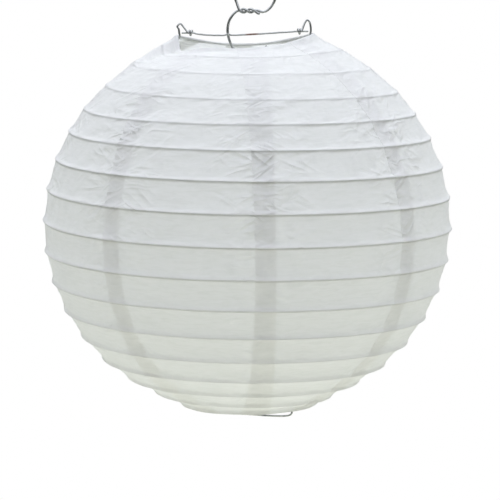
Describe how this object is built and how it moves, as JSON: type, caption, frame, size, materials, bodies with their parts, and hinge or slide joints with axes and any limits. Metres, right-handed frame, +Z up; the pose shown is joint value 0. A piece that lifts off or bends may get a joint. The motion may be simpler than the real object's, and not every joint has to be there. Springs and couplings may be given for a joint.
{
  "type": "paper lantern",
  "caption": "Round collapsible paper lantern of overlapping gores on a spiral wire rib, held open by a removable wire expander and hung from a bent wire hook.",
  "frame": {"origin": "inside of the hanger's eye, at its top, where a line or ceiling hook bears", "axes": "+Z up, parallel to the shade's axis, +X along the crossbar, -Y towards the front"},
  "size_m": [0.2998, 0.2998, 0.3315],
  "materials": {
    "paper": "matt, finely creased, lets light through",
    "rib_wire": "drawn steel wire",
    "dark_wire": "dull grey drawn steel wire with a little rust"
  },
  "bodies": {
    "hanger": {"hanger": "dark_wire"},
    "crossbar": {"crossbar": "dark_wire"},
    "expander": {"expander_frame": "dark_wire"},
    "shade_top": {"top_ring": "rib_wire", "rib_spiral": "rib_wire", "paper_gore_1": "paper", "paper_gore_2": "paper", "paper_gore_3": "paper", "paper_gore_4": "paper", "paper_gore_5": "paper", "paper_gore_6": "paper", "paper_gore_7": "paper", "paper_gore_8": "paper"},
    "shade_bottom": {"bottom_ring": "rib_wire"}
  },
  "joints": [
    {"name": "hook_slide", "type": "slide", "parent": "hanger", "child": "crossbar", "axis": [1, 0, 0], "range_m": [-0.01, 0.02]},
    {"name": "lantern_swing", "type": "hinge", "parent": "crossbar", "child": "expander", "pos_m": [-0.0072, 0, -0.04455], "axis": [1, 0, 0], "range_deg": [-75, 75]},
    {"name": "frame_release", "type": "slide", "parent": "expander", "child": "shade_top", "axis": [0, 0, -1], "range_m": [0, 0.3]},
    {"name": "shade_collapse", "type": "slide", "parent": "shade_top", "child": "shade_bottom", "axis": [0, 0, 1], "range_m": [0, 0.2414], "deforming": ["paper_gore_1", "paper_gore_2", "paper_gore_3", "paper_gore_4", "paper_gore_5", "paper_gore_6", "paper_gore_7", "paper_gore_8", "rib_spiral"]}
  ]
}
